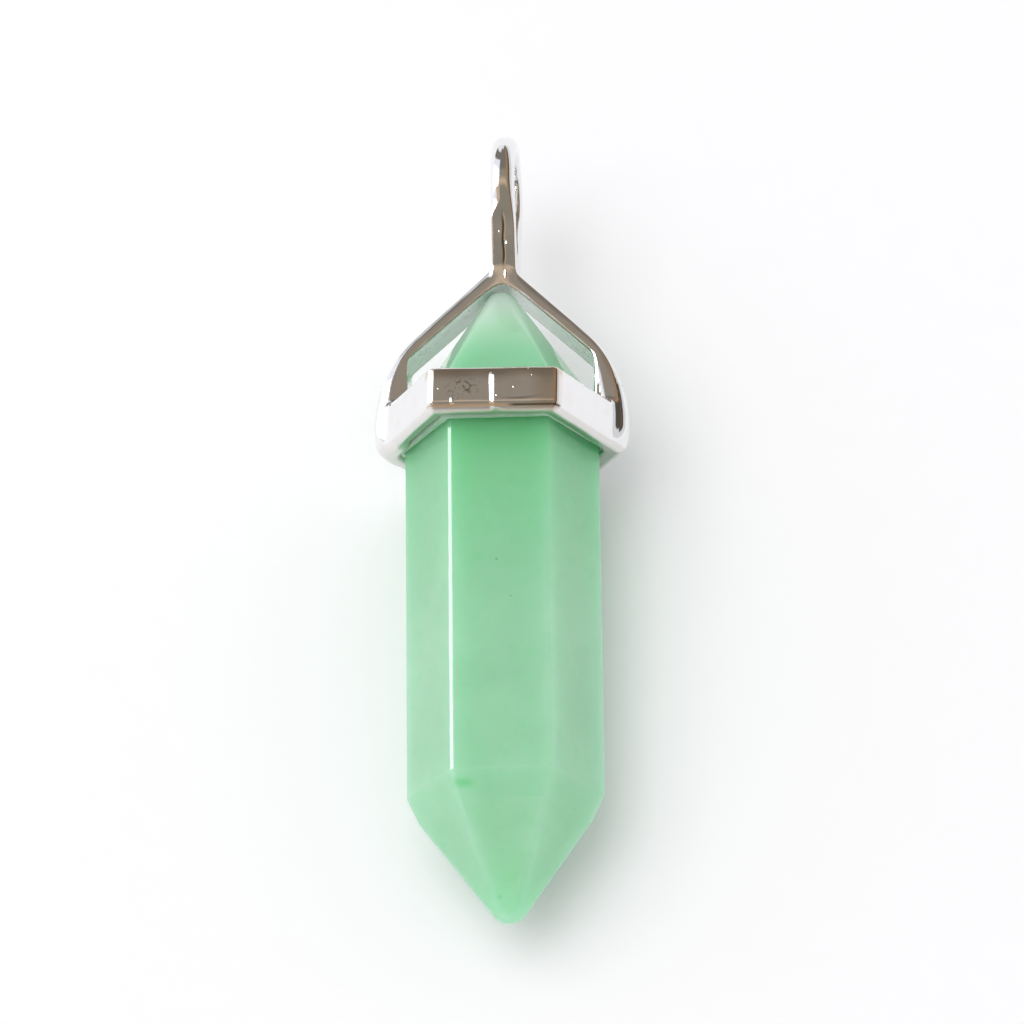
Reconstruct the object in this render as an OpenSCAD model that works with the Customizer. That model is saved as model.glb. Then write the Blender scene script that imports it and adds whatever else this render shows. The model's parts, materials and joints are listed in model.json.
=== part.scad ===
// Hexagonal crystal pendant: a double-pointed six-sided stone held by a cast cap.
// The cap is one casting: a hexagonal collar round the stone, a pointed arch over the
// stone's upper point, and a fixed teardrop bail on the arch's peak. The stone is bonded
// into the collar with clear glue.
//
// Each piece is drawn upright round the Z axis, with the collar's lower rim at z = 0, the
// bail up and the front facet towards -Y. lay_down() then rests the pendant on its back,
// with the bail towards +Y, the front facet up, and the middle of its box at the origin.
// All sizes are in millimetres.

/* [Stone] */
// Width of the stone across its flats
stone_across = 8; // [7:0.5:9]
// Length of the stone below the collar's lower rim
stone_below = 23.5; // [18:0.5:26]
// Length of the stone above the collar's lower rim
stone_above = 8.3; // [8:0.1:8.4]
// Height that the lower point would have without its rounded tip
point_height = 6.35; // [6:0.05:6.6]
// Height that the upper point would have without its rounded tip
upper_point_height = 7.1; // [7:0.05:7.2]
// Rounding of the stone's polished edges
stone_edge_r = 0.3; // [0.15:0.05:0.4]
// Rounding of the stone's lower tip
stone_tip_r = 0.55; // [0.4:0.05:0.7]
// Rounding of the stone's upper tip
upper_tip_r = 0.8; // [0.6:0.05:0.8]
// Turn of the stone inside the collar, in degrees
stone_turn = 2; // [0:0.5:4]

/* [Collar] */
// Height of the collar along the stone
collar_height = 2.1; // [1.8:0.1:2.6]
// Wall of the collar at the middle of a side
collar_wall = 0.95; // [0.8:0.05:1.2]
// Rounding of the collar's six upright edges
collar_corner_r = 0.45; // [0.3:0.05:0.6]
// Rounding of the collar's upper and lower rims
collar_rim_r = 0.2; // [0.1:0.05:0.3]

/* [Glue] */
// Space between the stone and the collar
seam_width = 0.25; // [0.22:0.01:0.35]
// How far the glue stops short of both rims
glue_inset = 0.15; // [0.1:0.05:0.4]
// Free space left on each side of the glue
glue_gap = 0.02; // [0.01:0.01:0.03]

/* [Arch] */
// Width of the arch from front to back
arch_width = 2.1; // [1.8:0.1:2.4]
// Height of the arch's inner peak above the collar's lower rim
arch_inner_peak = 8.75; // [8.7:0.05:9]
// Fall of the arch's inner faces from the level, in degrees
arch_inner_fall = 43.5; // [42:0.5:44]
// Height of metal between the inner and the outer peak
arch_peak_height = 0.85; // [0.8:0.05:1.1]
// Fall of the arch's outer faces from the level, in degrees
arch_outer_fall = 44; // [43:0.5:45]
// Rounding of the arch's edges
arch_edge_r = 0.35; // [0.2:0.05:0.45]
// Width of the slant that takes the corner off each leg's lower end
leg_end_slant = 0.45; // [0.2:0.05:0.6]

/* [Bail] */
// Height of the bail's top above the collar's lower rim
bail_top = 16.2; // [15.5:0.1:18]
// Width of the bail's limbs from side to side
bail_width = 1.15; // [1:0.05:1.4]
// Thickness of the bail's limbs, outside to inside
bail_thickness = 1; // [0.8:0.05:1.1]
// Depth of the bail from front to back at its crown
bail_depth = 5.5; // [5:0.1:6]
// Radius of the lower end of the bail's eye
eye_foot_r = 0.6; // [0.5:0.05:0.7]
// Rounding of the limbs' edges
bail_edge_r = 0.3; // [0.2:0.05:0.35]
// Sideways shift of the bail on the arch's peak
bail_shift = 0.2; // [0:0.05:0.2]
// Sideways lean of the bail, in degrees
bail_lean = 1.5; // [0:0.5:4]

/* [Hidden] */
$fn = 64;
CORNER_FN = 32;
// A ball of 26 sides has a ring on its equator, so it meets each flat in a single point
BALL_FN = 26;
SIDES = 6;
FLAT_PER_CORNER = cos(180 / SIDES);
CLEAR = 1;

// Stone: the lean of its pointed faces, and the balls that its rounded skin wraps. Each ball
// on a shoulder stands where it touches both the side and the pointed face.
stone_flat = stone_across / 2;
function point_angle(height) = atan(stone_flat / height);
function tip_cut(height, r) = r * (1 / sin(point_angle(height)) - 1);
function shoulder_inset(height) = stone_edge_r * tan(point_angle(height) / 2);
lower_shoulder_z = -stone_below - tip_cut(point_height, stone_tip_r) + point_height
                   + shoulder_inset(point_height);
upper_shoulder_z = stone_above + tip_cut(upper_point_height, upper_tip_r) - upper_point_height
                   - shoulder_inset(upper_point_height);
stone_ball_reach = (stone_flat - stone_edge_r) / FLAT_PER_CORNER;

// Collar
bore_flat = stone_flat + seam_width;
collar_flat = bore_flat + collar_wall;
collar_reach = collar_flat / FLAT_PER_CORNER;
bore_reach = bore_flat / FLAT_PER_CORNER;

// Arch: its legs follow a circle that reaches the collar's corners. The slopes run into the
// legs a hair below that circle, and both overlap there, so that they cross cleanly.
arch_outer_peak = arch_inner_peak + arch_peak_height;
slope_sink = 0.02;
leg_overlap = 8;
leg_centre_z = arch_outer_peak - (collar_reach - slope_sink) / cos(arch_outer_fall);
slope_length = collar_reach * tan(arch_outer_fall + leg_overlap);
leg_inner_x = bore_reach - arch_width / 2 * tan(180 / SIDES);
leg_inner_top = arch_inner_peak - leg_inner_x * tan(arch_inner_fall);
leg_end_x = sqrt(collar_reach * collar_reach - leg_centre_z * leg_centre_z);
leg_start_angle = -asin(leg_centre_z / collar_reach) - 5;
leg_sweep = 90 - arch_outer_fall + leg_overlap - leg_start_angle;
strap_depth = 2.4;
void_depth = arch_width + 0.6;
bore_top = leg_inner_top - 0.3;

// Bail: two limbs that run from the arch's faces and touch the circle of the crown
crown_r = bail_depth / 2;
crown_z = bail_top - crown_r;
limb_r = crown_r - bail_thickness / 2;
foot_y = arch_width / 2;
foot_z = arch_outer_peak - bail_width / 2 * tan(arch_outer_fall);
foot_distance = norm([foot_y, crown_z - foot_z]);
limb_lean = asin(crown_r / foot_distance) - atan(foot_y / (crown_z - foot_z));
limb_overrun = 1.2;
limb_length = sqrt(foot_distance * foot_distance - crown_r * crown_r) + limb_overrun;
eye_r = crown_r - bail_thickness;
eye_foot_z = crown_z - (eye_r - eye_foot_r) / sin(limb_lean);

// Rest: the pendant lies on the collar's rear flat and on one corner of the lower shoulder
rear_corner_turn = 180 / SIDES - stone_turn;
shoulder_drop = stone_ball_reach * cos(rear_corner_turn);
rim_drop = collar_flat - collar_rim_r;
rest_run = norm([collar_rim_r - lower_shoulder_z, rim_drop - shoulder_drop]);
rest_tilt = atan((rim_drop - shoulder_drop) / (collar_rim_r - lower_shoulder_z))
          + asin((collar_rim_r - stone_edge_r) / rest_run);
rest_lift = rim_drop * cos(rest_tilt) - collar_rim_r * sin(rest_tilt) + collar_rim_r;
tip_end = (stone_tip_r - stone_below) * cos(rest_tilt) - stone_tip_r;
bail_end = crown_z * cos(rest_tilt) + crown_r;

// Rests an upright shape on its back, with the middle of the pendant's box at the origin
module lay_down()
    translate([0, -(tip_end + bail_end) / 2, rest_lift])
        rotate([rest_tilt - 90, 0, 0])
            children();

// Six-sided outline with two of its corners on the X axis
module hexagon(flat)
    circle(r = flat / FLAT_PER_CORNER, $fn = SIDES);

// Section of a limb or strap: a rectangle with round corners, centred
module round_section(width, thickness, r) {
    square([width - 2 * r, thickness], center = true);
    square([width, thickness - 2 * r], center = true);
    for (x = [-1, 1], y = [-1, 1])
        translate([x * (width / 2 - r), y * (thickness / 2 - r)])
            circle(r = r);
}

// Six equal children set round the axis, each at the given reach
module at_corners(reach)
    for (i = [0 : SIDES - 1])
        rotate([0, 0, i * 360 / SIDES])
            translate([reach, 0, 0])
                children();

// The stone: a skin stretched over a ball at each corner and one in each tip
module stone_body()
    hull() {
        for (z = [lower_shoulder_z, upper_shoulder_z])
            translate([0, 0, z])
                at_corners(stone_ball_reach)
                    sphere(r = stone_edge_r, $fn = BALL_FN);
        translate([0, 0, stone_tip_r - stone_below])
            sphere(r = stone_tip_r, $fn = BALL_FN);
        translate([0, 0, stone_above - upper_tip_r])
            sphere(r = upper_tip_r, $fn = BALL_FN);
    }

// A disc with a rounded rim, which makes one upright edge of the collar
module collar_corner()
    rotate_extrude($fn = CORNER_FN) {
        square([collar_corner_r - collar_rim_r, collar_height]);
        translate([0, collar_rim_r])
            square([collar_corner_r, collar_height - 2 * collar_rim_r]);
        for (z = [collar_rim_r, collar_height - collar_rim_r])
            translate([collar_corner_r - collar_rim_r, z])
                circle(r = collar_rim_r);
    }

// The collar before its hole is cut
module collar_body()
    hull()
        at_corners((collar_flat - collar_corner_r) / FLAT_PER_CORNER)
            collar_corner();

// Section of the arch's strap, with its outer face at x = 0 and more depth than the metal
// that is left once the space under the arch is cut out
module strap_section()
    translate([-strap_depth / 2, 0])
        round_section(strap_depth, arch_width, arch_edge_r);

// One straight slope of the arch, with its outer face on the line down from the peak
module arch_slope()
    translate([0, 0, arch_outer_peak])
        rotate([0, 90 + arch_outer_fall, 0])
            mirror([1, 0, 0])
                linear_extrude(height = slope_length)
                    strap_section();

// One leg, from the end of its slope round to the collar's lower rim
module arch_leg()
    translate([0, 0, leg_centre_z])
        rotate([90, 0, 0])
            rotate([0, 0, leg_start_angle])
                rotate_extrude(angle = leg_sweep)
                    translate([collar_reach, 0])
                        strap_section();

// Both halves of the arch, cut off at the collar's lower rim with the corners slanted
module arch_strap()
    intersection() {
        for (side = [0, 1])
            mirror([side, 0, 0]) {
                arch_slope();
                arch_leg();
            }
        rotate([90, 0, 0])
            linear_extrude(height = 2 * arch_width, center = true)
                polygon([
                    [leg_end_slant - leg_end_x, 0],
                    [leg_end_x - leg_end_slant, 0],
                    [leg_end_x + CLEAR, leg_end_slant + CLEAR],
                    [leg_end_x + CLEAR, 2 * collar_reach],
                    [-leg_end_x - CLEAR, 2 * collar_reach],
                    [-leg_end_x - CLEAR, leg_end_slant + CLEAR],
                ]);
    }

// The space under the arch, down past the stone's shoulder
module arch_void()
    rotate([90, 0, 0])
        linear_extrude(height = void_depth, center = true)
            polygon([
                [0, arch_inner_peak],
                [leg_inner_x, leg_inner_top],
                [leg_inner_x, -CLEAR],
                [-leg_inner_x, -CLEAR],
                [-leg_inner_x, leg_inner_top],
            ]);

// The six-sided hole for the stone, which also hollows the legs' inner faces
module stone_bore()
    translate([0, 0, -CLEAR])
        linear_extrude(height = bore_top + CLEAR)
            hexagon(bore_flat);

// The bail's round crown and its two limbs, before it is shifted and leaned
module bail_loop() {
    translate([0, 0, crown_z])
        rotate([0, 90, 0])
            rotate([0, 0, 90 - limb_lean])
                rotate_extrude(angle = 180 + 2 * limb_lean)
                    translate([limb_r, 0])
                        round_section(bail_thickness, bail_width, bail_edge_r);
    for (side = [-1, 1])
        translate([0, 0, crown_z])
            rotate([-side * limb_lean, 0, 0])
                translate([0, side * limb_r, -limb_length])
                    linear_extrude(height = limb_length)
                        round_section(bail_width, bail_thickness, bail_edge_r);
}

// The web that closes the narrow foot of the bail's eye
module bail_web()
    rotate([90, 0, 90])
        linear_extrude(height = bail_width, center = true)
            difference() {
                polygon([
                    [0, arch_inner_peak],
                    [eye_foot_r + bail_edge_r, eye_foot_z],
                    [-eye_foot_r - bail_edge_r, eye_foot_z],
                ]);
                translate([0, eye_foot_z])
                    circle(r = eye_foot_r);
            }

// The whole bail where it stands on the arch's peak
module bail()
    translate([bail_shift, 0, arch_outer_peak])
        rotate([0, bail_lean, 0])
            translate([0, 0, -arch_outer_peak]) {
                bail_loop();
                bail_web();
            }

module crystal()
    color([0.53, 0.80, 0.62])
        lay_down()
            rotate([0, 0, stone_turn])
                stone_body();

module glue()
    color([0.80, 0.84, 0.78])
        lay_down()
            translate([0, 0, glue_inset])
                linear_extrude(height = collar_height - 2 * glue_inset)
                    difference() {
                        hexagon(bore_flat - glue_gap);
                        rotate(stone_turn)
                            hexagon(stone_flat + glue_gap);
                    }

module cap()
    color([0.76, 0.76, 0.78])
        lay_down()
            difference() {
                union() {
                    collar_body();
                    arch_strap();
                    bail();
                }
                arch_void();
                stone_bore();
            }

crystal();
glue();
cap();
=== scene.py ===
"""Looks of a hexagonal crystal pendant: its stone, its glue and its cast cap, in a pale studio.

Sizes are in millimetres. Each piece is drawn upright round the Z axis, with the collar's lower
rim at z = 0, the bail up and the front facet towards -Y, and is then laid on its back.
"""

import json
import logging
import math
from collections.abc import Callable
from dataclasses import dataclass, field
from enum import Enum

import bpy
import numpy as np
from mathutils import Matrix, Vector

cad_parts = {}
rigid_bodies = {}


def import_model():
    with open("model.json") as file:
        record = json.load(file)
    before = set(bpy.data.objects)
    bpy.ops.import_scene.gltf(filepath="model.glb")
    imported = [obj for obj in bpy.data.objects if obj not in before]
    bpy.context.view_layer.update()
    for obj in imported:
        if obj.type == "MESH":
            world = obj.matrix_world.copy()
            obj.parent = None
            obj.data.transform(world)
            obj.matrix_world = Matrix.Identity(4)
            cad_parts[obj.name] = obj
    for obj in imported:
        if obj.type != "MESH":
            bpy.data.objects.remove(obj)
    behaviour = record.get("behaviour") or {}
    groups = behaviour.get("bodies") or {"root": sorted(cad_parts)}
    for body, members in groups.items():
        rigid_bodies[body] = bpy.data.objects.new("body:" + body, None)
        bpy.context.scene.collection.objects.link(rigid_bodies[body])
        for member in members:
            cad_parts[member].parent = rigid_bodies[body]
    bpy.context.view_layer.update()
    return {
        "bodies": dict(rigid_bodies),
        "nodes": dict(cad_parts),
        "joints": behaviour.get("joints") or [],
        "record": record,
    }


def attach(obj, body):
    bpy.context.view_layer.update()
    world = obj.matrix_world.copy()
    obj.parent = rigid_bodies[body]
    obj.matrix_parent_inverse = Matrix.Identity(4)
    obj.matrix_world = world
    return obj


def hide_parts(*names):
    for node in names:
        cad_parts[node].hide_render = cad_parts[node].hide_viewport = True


LOG = logging.getLogger("pendant")
MM = 0.001
SIDES = 6
FLAT_PER_CORNER = math.cos(math.pi / SIDES)
CELL_CORNERS = [(i, j, k) for i in (0, 1) for j in (0, 1) for k in (0, 1)]

Field = Callable[[np.ndarray, np.ndarray, np.ndarray], np.ndarray]
Colour = tuple[float, float, float]


class Slot(Enum):
    """The record's material slots."""

    STONE = "stone"
    ADHESIVE = "adhesive"
    METAL = "metal"


class Wire:
    """A socket that carries a number, with Python's operators as Math nodes."""

    def __init__(self, graph: "Graph", socket: bpy.types.NodeSocket) -> None:
        """Keeps the socket and the graph that it belongs to."""
        self.graph = graph
        self.socket = socket

    def __add__(self, other: "Wire | float") -> "Wire":
        """self + other."""
        return self.graph.math("ADD", self, other)

    def __sub__(self, other: "Wire | float") -> "Wire":
        """self - other."""
        return self.graph.math("SUBTRACT", self, other)

    def __rsub__(self, other: float) -> "Wire":
        """other - self."""
        return self.graph.math("SUBTRACT", other, self)

    def __mul__(self, other: "Wire | float") -> "Wire":
        """self * other."""
        return self.graph.math("MULTIPLY", self, other)

    def __abs__(self) -> "Wire":
        """The value without its sign."""
        return self.graph.math("ABSOLUTE", self)

    __radd__ = __add__
    __rmul__ = __mul__


class Graph:
    """A shader's or a modifier's node tree, built one node at a time."""

    def __init__(self, tree: bpy.types.NodeTree) -> None:
        """Takes over an empty node tree."""
        self.tree = tree

    def add(self, kind: str, inputs: dict, settings: dict) -> bpy.types.Node:
        """Adds one node.

        Args:
            kind: the node's type name.
            inputs: values or wires for its sockets, by name or number, or a list of wires.
            settings: its own properties, which are set first.

        Returns:
            The node.
        """
        node = self.tree.nodes.new(kind)
        for name, value in settings.items():
            setattr(node, name, value)
        for key, value in inputs.items():
            wires = [value] if isinstance(value, Wire) else value
            if isinstance(wires, list):
                for wire in wires:
                    self.tree.links.new(wire.socket, node.inputs[key])
            else:
                node.inputs[key].default_value = value
        return node

    def node(
        self, kind: str, inputs: dict | None = None, output: int | str = 0, **settings: object
    ) -> Wire:
        """Adds one node and returns the wire from the chosen output."""
        return Wire(self, self.add(kind, inputs or {}, settings).outputs[output])

    def math(self, operation: str, *values: Wire | float) -> Wire:
        """One Math node on the given values."""
        return self.node("ShaderNodeMath", dict(enumerate(values)), operation=operation)

    def mix(self, factor: Wire | float, first: Wire | Colour, second: Wire | Colour) -> Wire:
        """Blends two colours.

        Args:
            factor: 0 for the first colour, 1 for the second.
            first: a colour, as a wire or as numbers.
            second: the colour that covers it.

        Returns:
            The blended colour.
        """
        ends = {
            6: first if isinstance(first, Wire) else (*first, 1.0),
            7: second if isinstance(second, Wire) else (*second, 1.0),
        }
        return self.node("ShaderNodeMix", {0: factor, **ends}, output=2, data_type="RGBA")

    def cover(self, colour: Wire | Colour, *coats: tuple[Wire, Colour]) -> Wire:
        """Lays coats over a first colour.

        Args:
            colour: the first colour.
            coats: how much each coat covers, from 0 to 1, and its colour.

        Returns:
            The colour of them all.
        """
        for share, coat in coats:
            colour = self.mix(share, colour, coat)
        return colour

    def place(self, lay: Matrix) -> "Place":
        """The point on a piece, in millimetres in the upright pendant's frame.

        Args:
            lay: lays the upright pendant down, in metres.

        Returns:
            The point.
        """
        move, turn, scale = lay.inverted().decompose()
        point = self.node(
            "ShaderNodeMapping",
            {
                "Vector": self.node("ShaderNodeTexCoord", output="Object"),
                "Location": move,
                "Rotation": turn.to_euler(),
                "Scale": scale,
            },
        )
        parts = [self.node("ShaderNodeSeparateXYZ", {0: point}, output=n) for n in range(3)]
        return Place(point, *parts)

    def bump(self, height: Wire) -> Wire:
        """The direction of a surface with the given height, in millimetres."""
        return self.node("ShaderNodeBump", {"Height": height, "Distance": MM, "Strength": 1.0})


@dataclass(frozen=True)
class Place:
    """A point on a piece as a vector, and how far across, back and along the pendant it is."""

    point: Wire
    x: Wire
    y: Wire
    z: Wire


@dataclass(frozen=True)
class Step:
    """A smooth step from 0, at start, to 1, at end."""

    start: float
    end: float

    def of(self, value: Wire) -> Wire:
        """How far the value is up the step."""
        inputs = {0: value, 1: self.start, 2: self.end}
        return value.graph.node("ShaderNodeMapRange", inputs, interpolation_type="SMOOTHSTEP")

    def share(self, values: np.ndarray) -> np.ndarray:
        """How far each number is up the step."""
        part = np.clip((values - self.start) / (self.end - self.start), 0, 1)
        return part * part * (3 - 2 * part)


@dataclass(frozen=True)
class Band:
    """A soft band: 1 at its middle, 0 from its reach on."""

    middle: float
    reach: float

    def of(self, value: Wire) -> Wire:
        """How far the value is inside the band."""
        return 1 - Step(0.0, self.reach).of(abs(value - self.middle))


@dataclass(frozen=True)
class Grain:
    """Soft noise, with scale waves to the millimetre."""

    scale: float
    detail: float = 2.0

    def of(self, at: Place) -> Wire:
        """The noise at a point, from 0 to 1."""
        inputs = {"Vector": at.point, "Scale": self.scale, "Detail": self.detail}
        return at.point.graph.node("ShaderNodeTexNoise", inputs)


def new_material(name: str) -> tuple[bpy.types.Material, Graph]:
    """Makes an empty node material.

    Args:
        name: the material's name.

    Returns:
        The material and the graph of its nodes.
    """
    material = bpy.data.materials.new(name)
    material.use_nodes = True
    material.node_tree.nodes.clear()
    return material, Graph(material.node_tree)


def finish_material(graph: Graph, surface: dict) -> None:
    """Ends a material in one Principled shader.

    Args:
        graph: the material's nodes.
        surface: values and wires for the shader's sockets, by name.
    """
    shader = graph.node("ShaderNodeBsdfPrincipled", surface)
    graph.add("ShaderNodeOutputMaterial", {"Surface": shader}, {})


@dataclass(frozen=True)
class Mark:
    """A small spot on a piece, in the upright pendant's frame.

    Height is positive outwards, and tall is the spot's length along z for a width of one.
    """

    x: float
    y: float
    z: float
    reach: float
    height: float = 0.0
    tall: float = 1.0

    def spot(self, at: Place) -> Wire:
        """The spot as a mask.

        Args:
            at: the point on the piece.

        Returns:
            1 in the middle of the spot, down to 0 at its edge.
        """
        graph = at.point.graph
        squash = (1.0, 1.0, 1 / self.tall)
        middle = (self.x, self.y, self.z / self.tall)
        place = graph.node("ShaderNodeVectorMath", {0: at.point, 1: squash}, operation="MULTIPLY")
        apart = graph.node(
            "ShaderNodeVectorMath", {0: place, 1: middle}, output="Value", operation="DISTANCE"
        )
        return 1 - Step(0.0, self.reach).of(apart)


@dataclass(frozen=True)
class StoneFinish:
    """Polished, milky translucent green."""

    body: Colour = (0.31, 0.60, 0.395)
    cloud: Colour = (0.345, 0.635, 0.43)
    # the veins' and nicks' own deep green, also used for painted shade near the collar and at the
    # lower tip
    depth: Colour = (0.12, 0.52, 0.21)
    # painted shade: the deeper green just under the collar's rim
    rim_shade: Colour = (0.06, 0.5, 0.15)
    pale: Colour = (0.56, 0.72, 0.60)
    speck: Colour = (0.08, 0.22, 0.12)
    clouds: Grain = Grain(0.3, 4.0)
    cloud_step: Step = Step(0.3, 0.75)
    veins: Grain = Grain(1.1, 3.0)
    vein_step: Step = Step(0.52, 0.75)
    vein_share: float = 0.12
    # painted shade: deeper green up towards the collar, where the cap keeps light out, and more
    # right under its rim
    collar_shade: Step = Step(-11.0, 0.5)
    collar_shade_share: float = 0.55
    rim_band: Band = Band(0.3, 2.8)
    rim_share: float = 0.5
    tip_shade: Step = Step(20.0, 23.5)
    tip_share: float = 0.2
    upper_point: Step = Step(3.0, 8.0)
    upper_share: float = 0.9
    swell: Grain = Grain(0.5, 1.0)
    swell_height: float = 0.012
    scratches: Grain = Grain(6.0, 1.0)
    scratch_height: float = 0.0004
    roughness: float = 0.02
    dull_areas: Grain = Grain(2.0)
    dullness: float = 0.05
    refraction: float = 1.56
    glow_mm: float = 6.0
    glow_reach: Colour = (0.6, 1.0, 0.7)
    speck_share: float = 0.7
    nick_share: float = 0.6
    specks: tuple[Mark, ...] = (
        Mark(1.56, -4.0, -4.96, 0.07),
        Mark(0.0, -4.0, -6.95, 0.08),
        Mark(0.66, -4.0, -8.79, 0.07),
        Mark(-0.79, -2.36, 5.14, 0.09),
        Mark(0.77, -2.32, 5.2, 0.07),
        Mark(3.6, -2.0, -0.6, 0.16),
        Mark(-0.35, -3.94, -17.72, 0.07),
        Mark(2.3, -2.95, -18.3, 0.12),
    )
    nicks: tuple[Mark, ...] = (
        Mark(-1.68, -3.9, -17.8, 0.8, -0.03, 0.45),
        Mark(-0.23, -1.0, -22.4, 0.22, -0.01),
        Mark(0.14, -0.5, -22.95, 0.09, -0.03, 2.5),
    )

    def tint(self, graph: Graph, at: Place) -> Wire:
        """The stone's colour, with painted shade near the collar and at the lower tip, without its
        specks and nicks.

        Args:
            graph: the material's nodes.
            at: the point on the stone.

        Returns:
            The colour.
        """
        return graph.cover(
            graph.mix(self.cloud_step.of(self.clouds.of(at)), self.body, self.cloud),
            (self.vein_step.of(self.veins.of(at)) * self.vein_share, self.depth),
            # painted shade near the collar and under its rim
            (self.collar_shade.of(at.z) * self.collar_shade_share, self.depth),
            (self.rim_band.of(at.z) * self.rim_share, self.rim_shade),
            (self.tip_shade.of(-1 * at.z) * self.tip_share, self.depth),
            (self.upper_point.of(at.z) * self.upper_share, self.pale),
        )

    def material(self, lay: Matrix) -> bpy.types.Material:
        """Makes the stone's material: clouds and specks inside and a faintly uneven polish.

        Args:
            lay: lays the upright pendant down, in metres.

        Returns:
            The material.
        """
        material, graph = new_material("milky_green_stone")
        at = graph.place(lay)
        colour = self.tint(graph, at)
        for mark in self.specks:
            colour = graph.mix(mark.spot(at) * self.speck_share, colour, self.speck)
        height = self.swell.of(at) * self.swell_height
        height = height + self.scratches.of(at) * self.scratch_height
        for mark in self.nicks:
            nick = mark.spot(at)
            colour = graph.mix(nick * self.nick_share, colour, self.depth)
            height = height + nick * mark.height
        finish_material(
            graph,
            {
                "Base Color": colour,
                "Roughness": self.roughness + self.dull_areas.of(at) * self.dullness,
                "IOR": self.refraction,
                "Subsurface Weight": 1.0,
                "Subsurface Radius": self.glow_reach,
                "Subsurface Scale": self.glow_mm * MM,
                "Normal": graph.bump(height),
            },
        )
        return material


@dataclass(frozen=True)
class FrontWear:
    """What shows on the collar's front facet: the mould's line, a rough patch, a score, stains."""

    front_end: Step = Step(-4.9, -4.7)
    seam_height: float = 0.06
    seam_rise: Step = Step(-0.20, 0.10)
    seam_fall: Step = Step(0.10, 0.55)
    seam_foot: Step = Step(0.05, 0.3)
    seam_head: Step = Step(1.8, 2.05)
    seam_depth: Step = Step(-4.6, -4.4)
    patch_across: Band = Band(-1.4, 1.1)
    patch_along: Band = Band(1.25, 0.75)
    pitting: Grain = Grain(5.0, 2.0)
    pitting_step: Step = Step(0.52, 0.62)
    stained_top: Band = Band(2.05, 0.5)
    stained_foot: Band = Band(0.1, 0.2)
    stained_side: Band = Band(2.6, 1.1)
    stained_side_share: float = 0.8
    score_middle: float = 1.2
    score_lowest: float = 0.62
    score_bend: float = 0.08
    score_across: Band = Band(1.3, 1.2)
    score_band: Band = Band(0.0, 0.09)
    score_depth: float = 0.004
    shine_band: Band = Band(-0.2, 0.16)

    def front(self, at: Place) -> Wire:
        """1 on the front facet, 0 elsewhere."""
        return 1 - self.front_end.of(at.y)

    def seam(self, at: Place) -> Wire:
        """Height of the line that the mould left.

        Args:
            at: the point on the cap.

        Returns:
            The height.
        """
        ridge = self.seam_rise.of(at.x) * (1 - self.seam_fall.of(at.x))
        ridge = ridge * self.seam_foot.of(at.z) * (1 - self.seam_head.of(at.z))
        return ridge * (1 - self.seam_depth.of(at.y)) * self.seam_height

    def patch(self, at: Place) -> Wire:
        """1 in the middle of the rough patch, 0 away from it."""
        return self.patch_across.of(at.x) * self.patch_along.of(at.z) * self.front(at)

    def stain(self, at: Place) -> Wire:
        """Where the facet is tarnished.

        Args:
            at: the point on the cap.

        Returns:
            1 where it is most tarnished, 0 where it is clean.
        """
        side = self.stained_side.of(at.x) * self.stained_side_share
        total = self.stained_top.of(at.z) + side + self.stained_foot.of(at.z)
        return total.graph.math("MINIMUM", total, 1.0) * self.front(at)

    def score(self, at: Place) -> tuple[Wire, Wire]:
        """The curved score on the facet's right half and the shine below it.

        Args:
            at: the point on the cap.

        Returns:
            A mask for each.
        """
        off = at.x - self.score_middle
        above = at.z - (self.score_lowest + off * off * self.score_bend)
        sweep = self.score_across.of(at.x) * self.front(at)
        return self.score_band.of(above) * sweep, self.shine_band.of(above) * sweep


@dataclass(frozen=True)
class Crease:
    """The crease down the front of the bail, with painted shade in it."""

    depth: float = 0.02
    middle: float = 0.27
    foot: float = 9.6
    slope: float = 0.02
    waves: float = 5.0
    wander: float = 0.02
    groove: Band = Band(0.0, 0.11)
    start: Step = Step(8.9, 9.6)
    end: Step = Step(11.0, 11.8)
    front_end: Step = Step(-1.0, -0.8)

    def mask(self, at: Place) -> Wire:
        """Where the crease is.

        Args:
            at: the point on the cap.

        Returns:
            1 in its middle, 0 away from it.
        """
        off = at.x - self.middle - (at.z - self.foot) * self.slope
        wander = off.graph.math("SINE", at.z * self.waves) * self.wander
        along = self.start.of(at.z) * (1 - self.end.of(at.z))
        return self.groove.of(off + wander) * along * (1 - self.front_end.of(at.y))


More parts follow.
